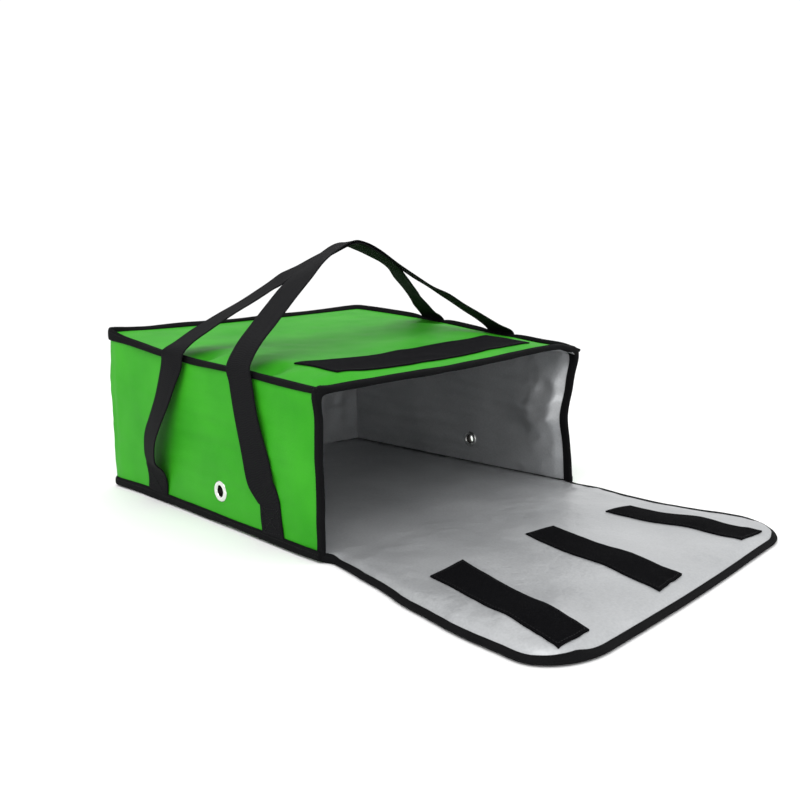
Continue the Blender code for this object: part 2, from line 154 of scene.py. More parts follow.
class Finish:  # a material, with one method for any node
    def __init__(self, name, **sockets):
        self.material = bpy.data.materials.new(name)
        self.material.use_nodes = True
        self.tree = self.material.node_tree
        self.shader = self.tree.nodes["Principled BSDF"]
        for socket, value in sockets.items():
            self.set(socket.replace("_", " "), value)

    def set(self, socket, value):
        self.feed(self.shader.inputs[socket], value)

    def feed(self, socket, value):
        if isinstance(value, Wire):
            self.tree.links.new(value.socket, socket)
        else:
            socket.default_value = value

    def node(self, kind, settings=None, inputs=None, output=0):
        made = self.tree.nodes.new(kind)
        for key, value in (settings or {}).items():
            setattr(made, key, value)
        for key, value in (inputs or {}).items():
            self.feed(made.inputs[key], value)
        return Wire(self, made.outputs[output])

    def split(self, vector):
        parts = self.node("ShaderNodeSeparateXYZ", None, {0: vector})
        return [Wire(self, socket) for socket in parts.socket.node.outputs]

    def place(self, kind):  # "UV" or "Object"
        return self.node("ShaderNodeTexCoord", None, None, kind)

    def noise(self, vector, scale, detail=2.0):
        return self.node("ShaderNodeTexNoise", None, {"Vector": vector, "Scale": scale, "Detail": detail})

    def between(self, value, low, high):
        return self.node("ShaderNodeMapRange", None, {0: value, 1: low, 2: high})

    def blendColours(self, share, first, second):  # 6, 7 and 2 are the Mix node's colour sockets
        return self.node("ShaderNodeMix", {"data_type": "RGBA"}, {0: share, 6: first, 7: second}, 2)

    def bump(self, height, depth, strength, under=None):
        inputs = {"Height": height, "Distance": depth, "Strength": strength}
        if under:
            inputs["Normal"] = under
        return self.node("ShaderNodeBump", None, inputs)


# Materials. Yarns, ribs, picks and columns are in metres; the other patterns are noise scales
clothLook = {
    "shade": (0.021, 0.285, 0.006, 1),
    "lit": (0.040, 0.375, 0.013, 1),
    "yarn": 0.0009,
    "patch": 16.0,
    "speck": 900.0,
    "coarse": 260.0,
}


def makeCoverFinish():
    finish = Finish("green cover fabric", Specular_IOR_Level=0.15)
    uv = finish.place("UV")
    x, y, _ = finish.split(uv)
    turn = math.pi / clothLook["yarn"]
    weave = (x * turn).wave() * (y * turn).wave()
    patches = finish.noise(finish.place("Object"), clothLook["patch"], 3.0)
    specks = finish.noise(uv, clothLook["speck"])
    share = finish.between(patches * 0.65 + specks * 0.35 + weave * 0.05, 0.3, 0.7)
    finish.set("Base Color", finish.blendColours(share, clothLook["shade"], clothLook["lit"]))
    finish.set("Roughness", specks * 0.16 + 0.5)
    coarse = finish.bump(finish.noise(uv, clothLook["coarse"]), 0.0006, 0.35)
    finish.set("Normal", finish.bump(weave, 0.0002, 0.35, coarse))
    return finish


tapeLook = {
    "shade": (0.0030, 0.0030, 0.0034, 1),
    "lit": (0.0075, 0.0075, 0.0082, 1),
    "rib": 0.0012,
    "patch": 30.0,
    "speck": 700.0,
}


def makeTapeFinish():
    finish = Finish("black grosgrain tape", Specular_IOR_Level=0.06)
    uv = finish.place("UV")
    x, _, _ = finish.split(uv)
    ribs = (x * (2 * math.pi / tapeLook["rib"])).wave()
    specks = finish.noise(uv, tapeLook["speck"])
    patches = finish.noise(finish.place("Object"), tapeLook["patch"])
    share = finish.between(specks * 0.7 + patches * 0.3, 0.3, 0.7)
    finish.set("Base Color", finish.blendColours(share, tapeLook["shade"], tapeLook["lit"]))
    finish.set("Roughness", specks * 0.2 + 0.75)
    finish.set("Normal", finish.bump(ribs * 0.6 + specks, 0.0003, 0.5))
    return finish


webbingLook = {
    "shade": (0.0034, 0.0034, 0.0040, 1),
    "lit": (0.0092, 0.0092, 0.0105, 1),
    "pick": 0.0026,
    "column": 0.006,
    "zigzag": 3.2,
    "speck": 800.0,
}


def makeWebbingFinish():
    finish = Finish("black webbing", Specular_IOR_Level=0.07)
    uv = finish.place("UV")
    x, y, _ = finish.split(uv)
    zigzag = abs((y * (math.pi / webbingLook["column"])).wave())
    twill = (x * (2 * math.pi / webbingLook["pick"]) + zigzag * webbingLook["zigzag"]).wave()
    specks = finish.noise(uv, webbingLook["speck"])
    share = finish.between(specks * 0.5 + twill * 0.16 + 0.25, 0.2, 0.8)
    finish.set("Base Color", finish.blendColours(share, webbingLook["shade"], webbingLook["lit"]))
    finish.set("Roughness", specks * 0.22 + 0.70)
    finish.set("Normal", finish.bump(twill * 0.5 + specks * 0.6, 0.0004, 0.55))
    return finish


foilLook = {
    "dull": (0.36, 0.37, 0.38, 1),
    "bright": (0.50, 0.51, 0.52, 1),
    "grain": 420.0,
    "crease": 55.0,
    "cloud": 9.0,
    "wave": 45.0,
}


def makeFoilFinish():
    finish = Finish("silver foil lining", Metallic=0.5, Roughness=0.4, Specular_IOR_Level=0.5)
    place = finish.place("Object")
    grain = finish.noise(place, foilLook["grain"])
    cloud = finish.noise(place, foilLook["cloud"], 3.0)
    cells = {"Vector": place, "Scale": foilLook["crease"]}
    creases = finish.node("ShaderNodeTexVoronoi", {"feature": "DISTANCE_TO_EDGE"}, cells)
    share = finish.between(cloud * 0.6 + grain * 0.4, 0.3, 0.7)
    finish.set("Base Color", finish.blendColours(share, foilLook["dull"], foilLook["bright"]))
    finish.set("Roughness", cloud * 0.2 + grain * 0.1 + 0.26)
    folds = finish.bump(finish.between(creases, 0.0, 0.12), 0.0008, 0.1)
    waves = finish.bump(finish.noise(place, foilLook["wave"], 3.0), 0.003, 0.3, folds)
    finish.set("Normal", finish.bump(grain, 0.0004, 0.3, waves))
    return finish


hookLook = {
    "shade": (0.0010, 0.0010, 0.0014, 1),
    "lit": (0.0040, 0.0040, 0.0048, 1),
    "scale": 700.0,
    "rough": 0.92,
}
loopLook = {
    "shade": (0.0028, 0.0028, 0.0036, 1),
    "lit": (0.0085, 0.0085, 0.0100, 1),
    "scale": 1100.0,
    "rough": 0.96,
}


def makePileFinish(name, look):
    finish = Finish(name, Roughness=look["rough"], Specular_IOR_Level=0.03)
    uv = finish.place("UV")
    dots = finish.node("ShaderNodeTexVoronoi", None, {"Vector": uv, "Scale": look["scale"]})
    fibres = finish.noise(uv, look["scale"] * 1.7)
    share = finish.between(dots * 0.6 + fibres * 0.5, 0.25, 0.75)
    finish.set("Base Color", finish.blendColours(share, look["shade"], look["lit"]))
    finish.set("Normal", finish.bump(dots + fibres, 0.0006, 0.7))
    return finish


nickelLook = {"colour": (0.78, 0.78, 0.76, 1), "rough": 0.12}
# The inside of each vent's barrel is dark nickel: painted shade, where the bore lies in shadow
shadedBarrelLook = {"colour": (0.035, 0.033, 0.030, 1), "rough": 0.45}


def makeNickelFinish(name, look):
    finish = Finish(name, Base_Color=look["colour"], Metallic=1.0)
    scuffs = finish.noise(finish.place("Object"), 600.0)
    finish.set("Roughness", scuffs * 0.16 + look["rough"])
    finish.set("Normal", finish.bump(scuffs, 0.0001, 0.15))
    return finish


thread = {
    "colour": (0.005, 0.005, 0.006, 1),
    "pitch": 0.0036,
    "length": 0.0013,
    "width": 0.00042,
    "lift": 0.0001,
    "highLift": 0.0002,
}


def makeThreadFinish():
    finish = Finish("black thread", Base_Color=thread["colour"], Specular_IOR_Level=0.2)
    finish.set("Roughness", finish.noise(finish.place("Object"), 2500.0) * 0.3 + 0.4)
    return finish


coverFinish = makeCoverFinish()
tapeFinish = makeTapeFinish()
webbingFinish = makeWebbingFinish()
foilFinish = makeFoilFinish()
hookFinish = makePileFinish("black hook strip", hookLook)
loopFinish = makePileFinish("black loop strip", loopLook)
nickelFinish = makeNickelFinish("bright nickel", nickelLook)
shadedBarrelFinish = makeNickelFinish("nickel in painted shade", shadedBarrelLook)
threadFinish = makeThreadFinish()
print("materials made")


def bentGrid(steps, size, place):  # quads bent into place, with UVs in metres
    bm = bmesh.new()
    uvs = bm.loops.layers.uv.new("UVMap")
    bmesh.ops.create_grid(bm, x_segments=steps[0], y_segments=steps[1], size=1)
    spots = {vert: ((vert.co.x + 1) / 2, (vert.co.y + 1) / 2) for vert in bm.verts}
    for face in bm.faces:
        for loop in face.loops:
            u, v = spots[loop.vert]
            loop[uvs].uv = (u * size[0], v * size[1])
    for vert, (u, v) in spots.items():
        vert.co = place(u, v)
    return bm


def addToScene(name, data):
    obj = bpy.data.objects.new(name, data)
    bpy.context.scene.collection.objects.link(obj)
    return obj


def makePiece(name, bm, finish, slot):
    mesh = bpy.data.meshes.new(name)
    bm.to_mesh(mesh)
    bm.free()
    mesh.shade_smooth()
    mesh.materials.append(finish.material)
    obj = addToScene(name, mesh)
    return obj


def settle(obj):  # the modifiers' result becomes the mesh
    graph = bpy.context.evaluated_depsgraph_get()
    mesh = bpy.data.meshes.new_from_object(obj.evaluated_get(graph))
    obj.modifiers.clear()
    obj.data = mesh
    mesh.name = obj.name


def thicken(obj, thickness):
    solid = obj.modifiers.new("cloth", "SOLIDIFY")
    solid.thickness = thickness
    solid.offset = -1
    settle(obj)
    obj.data.set_sharp_from_angle(angle=math.radians(60))


def lineLength(points):
    return sum((b - a).length for a, b in zip(points, points[1:]))


def evenly(points, step):  # the same line with a point every step
    total = lineLength(points)
    count = max(round(total / step), 1)
    gap = total / count
    found, i, along = [points[0].copy()], 0, 0.0
    for k in range(1, count):
        wanted = k * gap
        while along + (points[i + 1] - points[i]).length < wanted:
            along += (points[i + 1] - points[i]).length
            i += 1
        share = (wanted - along) / (points[i + 1] - points[i]).length
        found.append(points[i].lerp(points[i + 1], share))
    return found + [points[-1].copy()]


def smoothed(points, passes):
    for _ in range(passes):
        inner = [(a + b * 2 + c) / 4 for a, b, c in zip(points, points[1:], points[2:])]
        points = [points[0], *inner, points[-1]]
    return points


def tangents(points):
    ends = zip([points[0], *points[:-1]], [*points[1:], points[-1]])
    return [(after - before).normalized() for before, after in ends]


def sewLine(bm, points, normals):  # small round-ended stitches laid along a line
    size = Matrix.Diagonal((thread["length"], thread["width"], thread["width"], 1))
    spots = evenly(points, thread["pitch"])
    for a, b in zip(spots, spots[1:]):
        middle = (a + b) / 2
        near = min(range(len(points)), key=lambda k: (points[k] - middle).length_squared)
        along = (b - a).normalized()
        side = normals[near].cross(along).normalized()
        turn = Matrix((along, side, along.cross(side))).transposed().to_4x4()
        place = Matrix.Translation(middle) @ turn @ size
        bmesh.ops.create_icosphere(bm, subdivisions=1, radius=1, matrix=place)
# The case. Knots of the roof's edges are (share of the way back, height), of frontRise and
# crown (share of the way across, rise), and of the bows (share of the height, how far that
# side of the mouth stands out). The case slumps to the left, and the handles pull at its edges
case = {
    "leftEdge": ((0, 0.1795), (0.31, 0.188), (0.64, 0.196), (0.88, 0.2085), (1, 0.2165)),
    "rightEdge": (
        (0, 0.190), (0.057, 0.1955), (0.132, 0.1985), (0.243, 0.2050), (0.378, 0.2120),
        (0.524, 0.2207), (0.68, 0.2284), (0.85, 0.2352), (1, 0.2402),
    ),
    "frontRise": (
        (0, 0), (0.117, 0.0012), (0.25, 0.0026), (0.387, 0.0031), (0.577, 0.0060), (0.682, 0.0082),
        (0.813, 0.0111), (0.915, 0.0116), (0.968, 0.0078), (1, 0),
    ),
    "crown": (
        (0, 0), (0.10, 0.0078), (0.20, 0.0058), (0.31, 0.0042), (0.45, 0.0056), (0.60, 0.0070),
        (0.75, 0.0088), (0.85, 0.0102), (0.93, 0.0058), (1, 0),
    ),
    "crownReach": 0.20,
    "crownSlope": 0.15,
    "crownLoss": 0.8,
    "rearSag": 0.002,
    "middleSag": 0.003,
    "ripple": 0.0022,
    "fineRipple": 0.0008,
    "cornerRadius": 0.006,
    "cornerBulge": 0.004,
    "wallFoot": 0.004,
    "puff": 0.0035,
    "leftBow": (
        (0, 0.0005), (0.11, 0.0002), (0.22, 0.0008), (0.32, 0.0004), (0.48, 0.0012), (0.58, 0.0021),
        (0.74, 0.0015), (0.84, 0.0012), (0.95, 0.0036), (1, 0.0012),
    ),
    "rightBow": (
        (0, 0.0012), (0.05, 0.0005), (0.19, -0.0030), (0.35, -0.0085), (0.50, -0.0150), (0.61, -0.0120),
        (0.72, -0.0052), (0.83, -0.0008), (0.97, 0.0088), (1, 0.0080),
    ),
    "bowReach": 0.10,
    "clothPitch": 0.004,
    "wallRows": 50,
    "wallHigh": 0.21,
    "pinchReach": 0.032,
    "pinch": 0.0012,
    "pinchThin": 0.58,
}

# Dimples in the roof beside each strap: from the left edge in, from the mouth back,
# depth, length across, length back
roofDimples = (
    (0.020, 0.106, 0.0095, 0.019, 0.016),
    (0.018, 0.244, 0.0095, 0.019, 0.018),
    (0.425, 0.105, 0.0040, 0.022, 0.015),
    (0.430, 0.250, 0.0040, 0.022, 0.016),
)

# Soft folds of the walls: depth, stretch of the noise along x, y and height, its start and
# its scale
wallFolds = (
    (0.0020, 2, 1.3, 0.3, 0, 9),
    (0.0012, 1, 0.5, 1.1, 5, 16),
    (0.0005, 1, 1, 0.2, 9, 45),
)

coverCloth = {"finish": coverFinish, "slot": "cover_fabric", "thick": 0.0008}
foilCloth = {"finish": foilFinish, "slot": "foil_lining", "thick": 0.0006}


def roofLine(x, y):  # a level between the roof's two side edges
    across = (x + sideX) / (2 * sideX)
    back = (y - mouthY) / (backY - mouthY)
    height = mix(through(case["leftEdge"], back), through(case["rightEdge"], back), across)
    return height - case["rearSag"] * back * math.sin(math.pi * clamp(across))


def roofRise(x, y):  # the front edge's own shape, and the crown of the middle
    across = clamp((x + sideX) / (2 * sideX))
    back = y - mouthY
    fade = 1 - case["crownLoss"] * ease((back - case["crownReach"]) / case["crownSlope"])
    crown = through(case["crown"], across) * fade * ease((backY - y) / 0.04)
    return mix(through(case["frontRise"], across), crown, ease(back / 0.030))


def roofDip(x, y):
    dip = case["middleSag"] * hump(x, 0.14) * hump(y, 0.12)
    for side, back, depth, wide, long in roofDimples:
        dip += depth * hump(x + sideX - side, wide) * hump(y - mouthY - back, long)
    return dip


def cornerBulge(x, y):  # the rear left corner is pushed out
    return case["cornerBulge"] * hump(math.hypot(x + sideX, y - backY), 0.05)


def pinchAt(y):  # 1 at the mouth, where the binding squeezes the padding, 0 further back
    return 1 - ease((y - mouthY) / case["pinchReach"])


def edgeShare(x, y, reach):  # 0 on the roof's edges, 1 further in than reach
    near = min(x + sideX, sideX - x, y - mouthY, backY - y)
    return ease(near / reach)


def roofSurface(x, y, depth):
    squeeze = pinchAt(y)
    flat = roofLine(x, y) - depth * (1 - case["pinchThin"] * squeeze) - case["pinch"] * squeeze
    ripple = case["ripple"] * wobble(x, y * 1.6, 3, 11) + case["fineRipple"] * wobble(x, y, 7, 34)
    dip = roofDip(x, y) * edgeShare(x, y, 0.012)
    return flat + roofRise(x, y) - dip + ripple * edgeShare(x, y, 0.03)


def bowKnots(sign):
    return case["rightBow" if sign > 0 else "leftBow"]


def topBow(sign, y):  # how far the top of a side stands out beside the mouth
    return through(bowKnots(sign), 1) * hump(y - mouthY, case["bowReach"])


sideRun = backY - mouthY - case["cornerRadius"]
rearRun = 2 * (sideX - case["cornerRadius"])
cornerRun = case["cornerRadius"] * math.pi / 2
wallLength = 2 * sideRun + rearRun + 2 * cornerRun


def wallPlan(along):  # a place on the case's outline and the way out of it
    radius = case["cornerRadius"]
    s = along * wallLength
    if s <= sideRun:
        return Vector((-sideX, mouthY + s, 0)), Vector((-1, 0, 0))
    s -= sideRun
    if s <= cornerRun:
        turn = s / radius
        out = Vector((-math.cos(turn), math.sin(turn), 0))
        return Vector((radius - sideX, backY - radius, 0)) + out * radius, out
    s -= cornerRun
    if s <= rearRun:
        return Vector((radius - sideX + s, backY, 0)), Vector((0, 1, 0))
    s -= rearRun
    if s <= cornerRun:
        turn = s / radius
        out = Vector((math.sin(turn), math.cos(turn), 0))
        return Vector((sideX - radius, backY - radius, 0)) + out * radius, out
    s -= cornerRun
    return Vector((sideX, backY - radius - s, 0)), Vector((1, 0, 0))


def onSide(out):  # true on the left and right walls, not at the rear
    return abs(out.x) > 0.9


# How far a wall stands out of its plan: the padding's crown, soft folds, and the bow
# of each side towards the mouth
def wallOut(spot, out, height):
    height = clamp(height)
    inner = math.sin(math.pi * height) ** 0.6
    back = spot.y - mouthY
    beside = ease((backY - spot.y) / 0.02) if onSide(out) else 1
    crown = case["puff"] * inner * ease(back / 0.05) * beside - case["pinch"] * pinchAt(spot.y)
    folds = 0
    for depth, wide, long, high, start, scale in wallFolds:
        folds += depth * wobble(spot.x * wide, spot.y * long, height * high + start, scale)
    bow = through(bowKnots(out.x), height) * hump(back, case["bowReach"]) if onSide(out) else 0
    return crown + folds * inner * (1 - 0.8 * hump(back, 0.05)) + bow + cornerBulge(spot.x, spot.y)


def wallPoint(along, height, inset):  # a lining's inset also brings its top and foot in
    spot, out = wallPlan(along)
    top = roofLine(spot.x, spot.y) - inset * 0.9
    z = mix(case["wallFoot"] + inset * 0.45, top, height)
    deep = inset * (1 - case["pinchThin"] * pinchAt(spot.y))
    return spot + out * (wallOut(spot, out, height) - deep) + up * z


# The flap, open on the floor and pulled to the left. Knots of its side edges are (distance
# from the hinge, x) and of its end (x, distance short of the flap's full reach); a corner is
# (across, along). The panel is thinner at its edges and towards the right
flap = {
    "left": {
        "corner": (0.066, 0.046),
        "edge": (
            (0, -0.2195), (0.055, -0.2289), (0.091, -0.2357), (0.127, -0.2451), (0.162, -0.2507),
            (0.194, -0.2544), (0.229, -0.2578), (0.309, -0.2585),
        ),
    },
    "right": {
        "corner": (0.072, 0.062),
        "edge": (
            (0, 0.2195), (0.044, 0.2190), (0.080, 0.2115), (0.125, 0.2080), (0.164, 0.2110),
            (0.188, 0.2140), (0.225, 0.2225), (0.309, 0.2220),
        ),
    },
    "end": ((-0.25, 0.0064), (-0.05, 0.0060), (0.15, 0.0128)),
    "foot": 0.0017,
    "edgeThick": 0.0023,
    "rightEdgeThick": 0.0044,
    "rightThick": 0.0034,
    "thick": 0.0066,
    "puffReach": 0.014,
    "seam": 0.0006,
    "tuck": 0.0004,
    "scallop": 0.0016,
    "fineScallop": 0.0009,
}

# Soft waves of the open flap: place, height, length across, length along, turn
flapWaves = (
    (-0.175, -0.318, 0.0022, 0.060, 0.026, -0.35),
    (-0.020, -0.322, 0.0018, 0.070, 0.028, 0.05),
    (0.135, -0.345, 0.0020, 0.050, 0.030, 0.15),
    (0.150, -0.450, 0.0045, 0.050, 0.028, 0.1),
    (-0.030, -0.452, 0.0035, 0.050, 0.030, 0.0),
    (-0.205, -0.470, 0.0045, 0.045, 0.030, -0.2),
    (-0.225, -0.395, 0.0030, 0.030, 0.045, -0.1),
    (0.190, -0.300, 0.0020, 0.022, 0.040, 0.1),
    (0.190, -0.400, 0.0020, 0.020, 0.045, 0.0),
)


def flapSide(sign):
    return flap["left" if sign < 0 else "right"]


# Where the flap's end begins and stops between its two corners
endSpan = [flapSide(sign)["edge"][-1][1] - sign * flapSide(sign)["corner"][0] for sign in (-1, 1)]


def endAt(x):
    return flapEndY + through(flap["end"], x)


def panelEdge(sign, y):  # x of one side of the floor and the flap
    side = flapSide(sign)
    wide, long = side["corner"]
    edge = mix(sign * (sideX - 0.001), through(side["edge"], hinge.y - y), ease((mouthY + 0.004 - y) / 0.02))
    scallop = flap["scallop"] * wobble(sign, y, 6, 22) + flap["fineScallop"] * wobble(sign, y, 9, 60)
    edge += scallop * ease((mouthY - 0.01 - y) / 0.04)
    short = min((long - (y - endAt(endSpan[0 if sign < 0 else 1]))) / long, 1)
    inset = wide * (1 - math.sqrt(1 - short**2)) if short > 0 else 0
    return edge - sign * inset


def edgeDistance(x, y):
    return max(min(x - panelEdge(-1, y), panelEdge(1, y) - x, y - endAt(x)), 0)


def flapLift(x, y):
    lift = 0
    for wx, wy, height, wide, long, turn in flapWaves:
        dx, dy = x - wx, y - wy
        across = dx * math.cos(turn) + dy * math.sin(turn)
        along = dy * math.cos(turn) - dx * math.sin(turn)
        lift += height * hump(across, wide) * hump(along, long)
    lift += 0.0010 * (1 + wobble(x, y, 2, 13))
    return lift * ease((hinge.y - 0.004 - y) / 0.05) * (0.25 + 0.75 * ease(edgeDistance(x, y) / 0.035))


def foilCrinkle(x, y, z, loose):
    sharp = 1 - 2 * abs(wobble(x, y, z, 26))
    fine = 1 - 2 * abs(wobble(x, y, z + 4, 60))
    return (0.0007 * sharp + 0.0003 * fine) * loose


def panelTop(x, y):
    outside = ease((mouthY + 0.02 - y) / 0.07)
    near = mix(1, ease(edgeDistance(x, y) / flap["puffReach"]), ease((mouthY - y) / 0.02))
    loose = 0.5 + 1.6 * hump(y - hinge.y + 0.03, 0.035) + 1.3 * hump(edgeDistance(x, y) - 0.02, 0.02)
    right = ease((x - 0.12) / 0.08) * ease((y - endAt(x) - 0.02) / 0.05)
    edge = mix(flap["edgeThick"], flap["rightEdgeThick"], right)
    thick = mix(edge, mix(flap["thick"], flap["rightThick"], right), near)
    return flap["foot"] * (0.3 + 0.7 * outside) + flapLift(x, y) + thick + foilCrinkle(x, y, 0, loose * near)


def panelBottom(x, y):
    return flap["foot"] + 0.9 * flapLift(x, y)


def makeSheet(name, bm, cloth, side=1):  # the thickness goes inwards, or with -1 outwards
    obj = makePiece(name, bm, cloth["finish"], cloth["slot"])
    thicken(obj, cloth["thick"] * side)
    return obj


ventHole = {"cloth": 0.0088, "bore": 0.0066, "flange": 0.0131, "washer": 0.0121}


def openVents(bm, inset):  # round holes where the eyelets go through
    radius = ventHole["cloth"]
    for sign in (-1, 1):
        centre = Vector((sign * (sideX - inset), vent.y, vent.z))
        near = [f for f in bm.faces if (f.calc_center_median() - centre).length < radius]
        bmesh.ops.delete(bm, geom=near, context="FACES")
        for vert in bm.verts:
            gap = vert.co - centre
            gap.x = 0
            if vert.is_boundary and abs(vert.co.x - centre.x) < 0.02 and gap.length < 2 * radius:
                edge = centre + gap.normalized() * radius
                vert.co = (vert.co.x, edge.y, edge.z)


def makeWall(name, inset, cloth, slack=None):
    steps = (round(wallLength / case["clothPitch"]), case["wallRows"])

    def place(u, v):
        point = wallPoint(u, v, inset)
        return point - wallPlan(u)[1] * slack(point, v) if slack else point

    bm = bentGrid(steps, (wallLength, case["wallHigh"]), place)
    openVents(bm, inset)
    return makeSheet(name, bm, cloth)


foilSlack = {"least": 0.0003, "tight": 0.0012, "loose": 0.0060, "roof": 0.005}


def liningSlack(point, v):  # the foil hangs loose from the padding and buckles
    quiet = 1 - hump((point - Vector((point.x, vent.y, vent.z))).length, 0.02)
    mouthEnd = hump(point.y - mouthY - 0.05, 0.05) if point.x > 0 else 0.4
    loose = foilSlack["tight"] + foilSlack["loose"] * mouthEnd
    sharp = 1 - 2.2 * abs(wobble(point.x * 2, point.y * 1.2, point.z * 0.8, 17))
    cross = 1 - 2.2 * abs(wobble(point.x, point.y * 0.8 + 3, point.z * 1.4, 30))
    slack = max(loose * (0.9 + sharp + 0.5 * cross), foilSlack["least"]) * math.sin(math.pi * v) ** 0.5
    return slack * quiet * ease((point.y - mouthY - 0.004) / 0.02)


wallCover = makeWall("wall_cover", 0, coverCloth)
wallLining = makeWall("wall_lining", wallThick, foilCloth, liningSlack)
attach(wallCover, "bag")
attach(wallLining, "bag")
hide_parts("cover_left", "cover_rear", "cover_right", "foam_left", "foam_rear", "foam_right")
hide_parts("lining_left", "lining_rear", "lining_right")
print("walls made")


def roofPlace(depth, slack):
    def place(u, v):
        y = mix(mouthY, backY, v)
        x = mix(depth * 0.5 - sideX - topBow(-1, y), sideX + topBow(1, y) - depth * 0.5, u)
        drop = slack * edgeShare(x, y, 0.08) * (1 + 0.8 * wobble(x, y, 1, 9)) if slack else 0
        crinkle = foilCrinkle(x, y, 5, 1.5) if slack else 0
        bulge = cornerBulge(x, y)
        return Vector((x - bulge, y + bulge, roofSurface(x, y, depth) - drop + crinkle))
    return place


roofSize = (2 * sideX, backY - mouthY)
roofSteps = [round(length / case["clothPitch"]) for length in roofSize]
roofCover = makeSheet("roof_cover", bentGrid(roofSteps, roofSize, roofPlace(0, 0)), coverCloth)
liningPlace = roofPlace(wallThick, foilSlack["roof"])
roofLining = makeSheet("roof_lining", bentGrid(roofSteps, roofSize, liningPlace), foilCloth)
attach(roofCover, "bag")
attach(roofLining, "bag")
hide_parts("cover_roof", "foam_roof")
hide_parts("lining_roof")
print("roof made")


panelColumns = 128
panelPitch = 0.0036


# One piece of the panel that is floor and flap, between two places along it; far None
# means the flap's end
def makePanel(name, near, far, size, height, cloth, side=1):
    def place(u, v):
        y = mix(near, far if far else endAt(mix(*endSpan, u)) + flap["tuck"], v)
        edge = flap["seam"] * ease((mouthY - y) / 0.02)
        x = mix(panelEdge(-1, y) + edge, panelEdge(1, y) - edge, u)
        return Vector((x, y, height(x, y)))

    steps = (panelColumns, round(size[1] / panelPitch))
    return makeSheet(name, bentGrid(steps, size, place), cloth, side)


nearSize = (2 * sideX, backY - splitY)
endSize = (2 * sideX, splitY - endAt(0))
panelRear = backY - 0.002
floorLining = makePanel("floor_and_flap_lining", panelRear, splitY, nearSize, panelTop, foilCloth)
endLining = makePanel("flap_end_lining", splitY, None, endSize, panelTop, foilCloth)
floorCover = makePanel("floor_and_flap_cover", panelRear, splitY, nearSize, panelBottom, coverCloth, -1)
endCover = makePanel("flap_end_cover", splitY, None, endSize, panelBottom, coverCloth, -1)
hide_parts("lining_floor", "lining_flap_front")
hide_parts("lining_flap_end")
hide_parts("cover_floor", "foam_floor", "cover_flap_front", "foam_flap_front")
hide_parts("cover_flap_end", "foam_flap_end")
print("floor and flap made")


# Binding tape. A sweep goes through cross-sections that start on the tape's outer lap,
# pass round its fold and end on its inner lap
tape = {
    "outerLap": 0.0055,
    "innerLap": 0.0085,
    "flapLap": 0.0042,
    "rightLap": 0.0075,
    "thick": 0.0008,
    "gap": 0.0003,
    "step": 0.0036,
    "uneven": 0.16,
    "unevenWidth": 0.22,
}


def sweep(sections, closed=False):  # a skin through rows of points, its ends filled if closed
    steps = (len(sections) - 1, len(sections[0]) - 1)
    middle = steps[1] // 2
    size = (lineLength([section[middle] for section in sections]), lineLength(sections[0]))
    bm = bentGrid(steps, size, lambda u, v: sections[round(u * steps[0])][round(v * steps[1])])
    if closed:
        bmesh.ops.remove_doubles(bm, verts=bm.verts, dist=0.00001)
        bmesh.ops.holes_fill(bm, edges=bm.edges, sides=0)
        bmesh.ops.recalc_face_normals(bm, faces=bm.faces)
    return bm


def framesAlong(points, inwards):  # point, way out of the outer lap, way into the cloth
    found = []
    for point, tangent, inward in zip(points, tangents(points), inwards):
        inward = (inward - tangent * tangent.dot(inward)).normalized()
        found.append((point, tangent.cross(inward).normalized(), inward))
    return found


def addStitches(obj, *lines):
    obj.data.materials.append(threadFinish.material)
    bm = bmesh.new()
    bm.from_mesh(obj.data)
    old = len(bm.faces)
    for points, normals in lines:
        sewLine(bm, points, normals)
    bm.faces.ensure_lookup_table()
    for face in bm.faces[old:]:
        face.material_index = 1
        face.smooth = True
    bm.to_mesh(obj.data)
    bm.free()


def stitchLine(sections, index, towards, lift):  # along one lap, raised off it
    points, normals = [], []
    for before, section, after in zip([sections[0], *sections], sections, [*sections[1:], sections[-1]]):
        normal = (after[index] - before[index]).cross(section[towards] - section[index]).normalized()
        points.append(section[index].lerp(section[towards], 0.35) + normal * lift)
        normals.append(normal)
    return points, normals


tubeSides = 14


def tubeSection(spot, wide, thick):  # flat closed tape, wide into the cloth
    point, across, inward = spot
    found = []
    for k in range(tubeSides + 1):
        turn = 2 * math.pi * k / tubeSides
        c, s = math.cos(turn), math.sin(turn)
        flat = abs(s) ** 0.7 * math.copysign(1, s)
        full = abs(c) ** 0.8 * math.copysign(1, c)
        found.append(point + inward * (full * wide / 2) + across * (flat * thick / 2))
    return found


# Round the mouth: up the left wall, along the roof, down the right wall. Each line of the
# tape follows the cloth at its own distance back from the mouth
mouth = {"foot": -0.012, "top": 0.95, "corner": 0.011, "bulk": 0.0004, "cornerBulk": 0.0016}
mouthHeights = spread(mouth["foot"], mouth["top"], 50)
mouthXs = spread(mouth["corner"] - sideX, sideX - mouth["corner"], 124)


